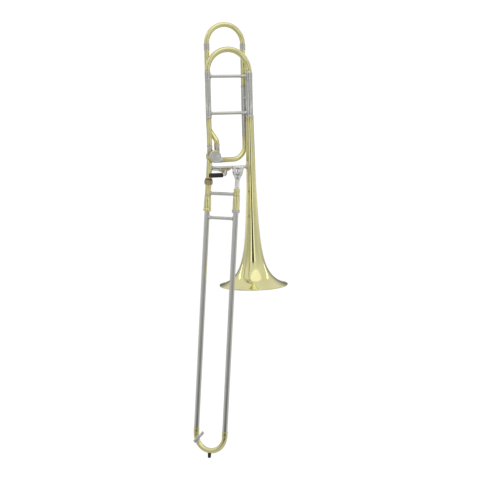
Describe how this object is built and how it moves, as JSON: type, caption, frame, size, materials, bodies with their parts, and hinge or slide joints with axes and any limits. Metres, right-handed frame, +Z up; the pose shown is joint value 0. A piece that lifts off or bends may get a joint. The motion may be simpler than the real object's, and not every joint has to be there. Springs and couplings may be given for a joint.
{
  "type": "trombone",
  "caption": "Tenor trombone: flared bell, two tuning slides, rotary F attachment with a thumb lever, and a hand slide with mouthpiece and water key.",
  "frame": {"origin": "centre of the bell's mouth, level with the flat underside of its rim", "axes": "+Z up the bell's axis, away from the mouth; +X from the neckpipe towards the bell; -Y is the front, where the mouthpiece stands"},
  "size_m": [0.3116, 0.2083, 1.2374],
  "materials": {
    "lacquered_brass": "clear-lacquered yellow brass, bright polish",
    "nickel_silver": "polished nickel silver, slightly warm",
    "chromed_slide": "chrome plate, mirror polish",
    "silver_plate": "bright silver plate",
    "aged_brass": "darker unlacquered brass with handling wear",
    "black_rubber": "matt black rubber",
    "cork": "natural cork"
  },
  "bodies": {
    "bell_section": {"bell": "lacquered_brass", "bell_rim": "lacquered_brass", "bell_sleeve": "nickel_silver", "neck_sleeve": "nickel_silver", "gooseneck": "lacquered_brass", "gooseneck_ferrule": "nickel_silver", "neckpipe": "lacquered_brass", "upper_brace": "nickel_silver", "lower_brace": "nickel_silver", "f_stay_left": "nickel_silver", "f_stay_right": "nickel_silver", "f_port_ferrule": "nickel_silver", "f_riser": "lacquered_brass", "f_sleeve_left": "nickel_silver", "f_sleeve_right": "nickel_silver", "f_lower_bend": "lacquered_brass", "f_run_ferrule": "nickel_silver", "rotor_casing": "lacquered_brass", "rotor_cap": "nickel_silver", "bearing_plate": "nickel_silver", "stop_bumper_rest": "cork", "stop_bumper_open": "cork", "trigger_bracket": "aged_brass", "trigger_spring": "chromed_slide"},
    "tuning_slide": {"tuning_bow": "lacquered_brass", "tuning_leg_neck": "nickel_silver", "tuning_leg_bell": "nickel_silver", "tuning_ferrule_neck": "nickel_silver", "tuning_ferrule_bell": "nickel_silver", "tuning_brace": "nickel_silver"},
    "f_slide": {"f_bow": "lacquered_brass", "f_leg_left": "lacquered_brass", "f_leg_right": "lacquered_brass", "f_ferrule_left": "nickel_silver", "f_ferrule_right": "nickel_silver"},
    "rotor": {"rotor_core": "aged_brass", "stop_arm": "nickel_silver"},
    "trigger": {"trigger_rocker": "nickel_silver", "trigger_arm": "nickel_silver", "thumb_pad": "black_rubber"},
    "link": {"link_rod": "nickel_silver"},
    "lock_nut": {"lock_nut": "aged_brass"},
    "inner_slide": {"neck_barrel": "lacquered_brass", "mouthpiece_barrel": "lacquered_brass", "inner_tube_left": "chromed_slide", "inner_tube_right": "chromed_slide", "inner_brace": "nickel_silver"},
    "slide_lock": {"slide_lock": "nickel_silver"},
    "mouthpiece": {"mouthpiece": "silver_plate"},
    "outer_slide": {"outer_tube_left": "chromed_slide", "outer_tube_right": "chromed_slide", "crook_ferrule_left": "lacquered_brass", "crook_ferrule_right": "lacquered_brass", "outer_brace": "nickel_silver", "crook": "lacquered_brass", "rubber_bumper": "black_rubber", "water_key_saddle": "chromed_slide"},
    "water_key": {"water_key": "chromed_slide", "water_key_cork": "cork"}
  },
  "joints": [
    {"name": "tuning_slide_pull", "type": "slide", "parent": "bell_section", "child": "tuning_slide", "axis": [0, 0, 1], "range_m": [0, 0.075]},
    {"name": "f_slide_pull", "type": "slide", "parent": "bell_section", "child": "f_slide", "axis": [0, 0, 1], "range_m": [0, 0.085]},
    {"name": "trigger_press", "type": "hinge", "parent": "bell_section", "child": "trigger", "pos_m": [-0.0825, 0, 0.3375], "axis": [0, -1, 0], "range_deg": [0, 22], "stiffness_Nm_per_rad": 0.15, "springref_deg": -17.19},
    {"name": "rotor_turn", "type": "hinge", "parent": "bell_section", "child": "rotor", "pos_m": [-0.1117, 0, 0.38], "axis": [0, 1, 0], "range_deg": [0, 90.05]},
    {"name": "link_swing", "type": "hinge", "parent": "trigger", "child": "link", "pos_m": [-0.12251, 0, 0.34528], "axis": [0, -1, 0], "range_deg": [-22.05, 0]},
    {"name": "lock_nut_turn", "type": "hinge", "parent": "bell_section", "child": "lock_nut", "pos_m": [-0.127, 0, 0.3264], "axis": [0.0957, 0.0523, 0.994], "continuous": true},
    {"name": "slide_swivel", "type": "hinge", "parent": "bell_section", "child": "inner_slide", "pos_m": [-0.127, 0, 0.3264], "axis": [-0.0957, -0.0523, -0.994], "range_deg": [0, 50]},
    {"name": "hand_slide", "type": "slide", "parent": "inner_slide", "child": "outer_slide", "axis": [-0.0957, -0.0523, -0.994], "range_m": [0, 0.585]},
    {"name": "slide_lock_turn", "type": "hinge", "parent": "inner_slide", "child": "slide_lock", "pos_m": [-0.07034, -0.0662, 0.22584], "axis": [0.0957, 0.0523, 0.994], "range_deg": [0, 25]},
    {"name": "mouthpiece_pull", "type": "slide", "parent": "inner_slide", "child": "mouthpiece", "axis": [0.0957, 0.0523, 0.994], "range_m": [0, 0.024]},
    {"name": "water_key_press", "type": "hinge", "parent": "outer_slide", "child": "water_key", "pos_m": [-0.19991, -0.05555, -0.42201], "axis": [-0.5006, 0.5534, 0.6657], "range_deg": [0, 20], "stiffness_Nm_per_rad": 0.03, "springref_deg": -20.05}
  ],
  "couplings": [
    {"joint": "rotor_turn", "follows": "trigger_press", "ratio": 4.0909},
    {"joint": "link_swing", "follows": "trigger_press", "ratio": -1}
  ]
}
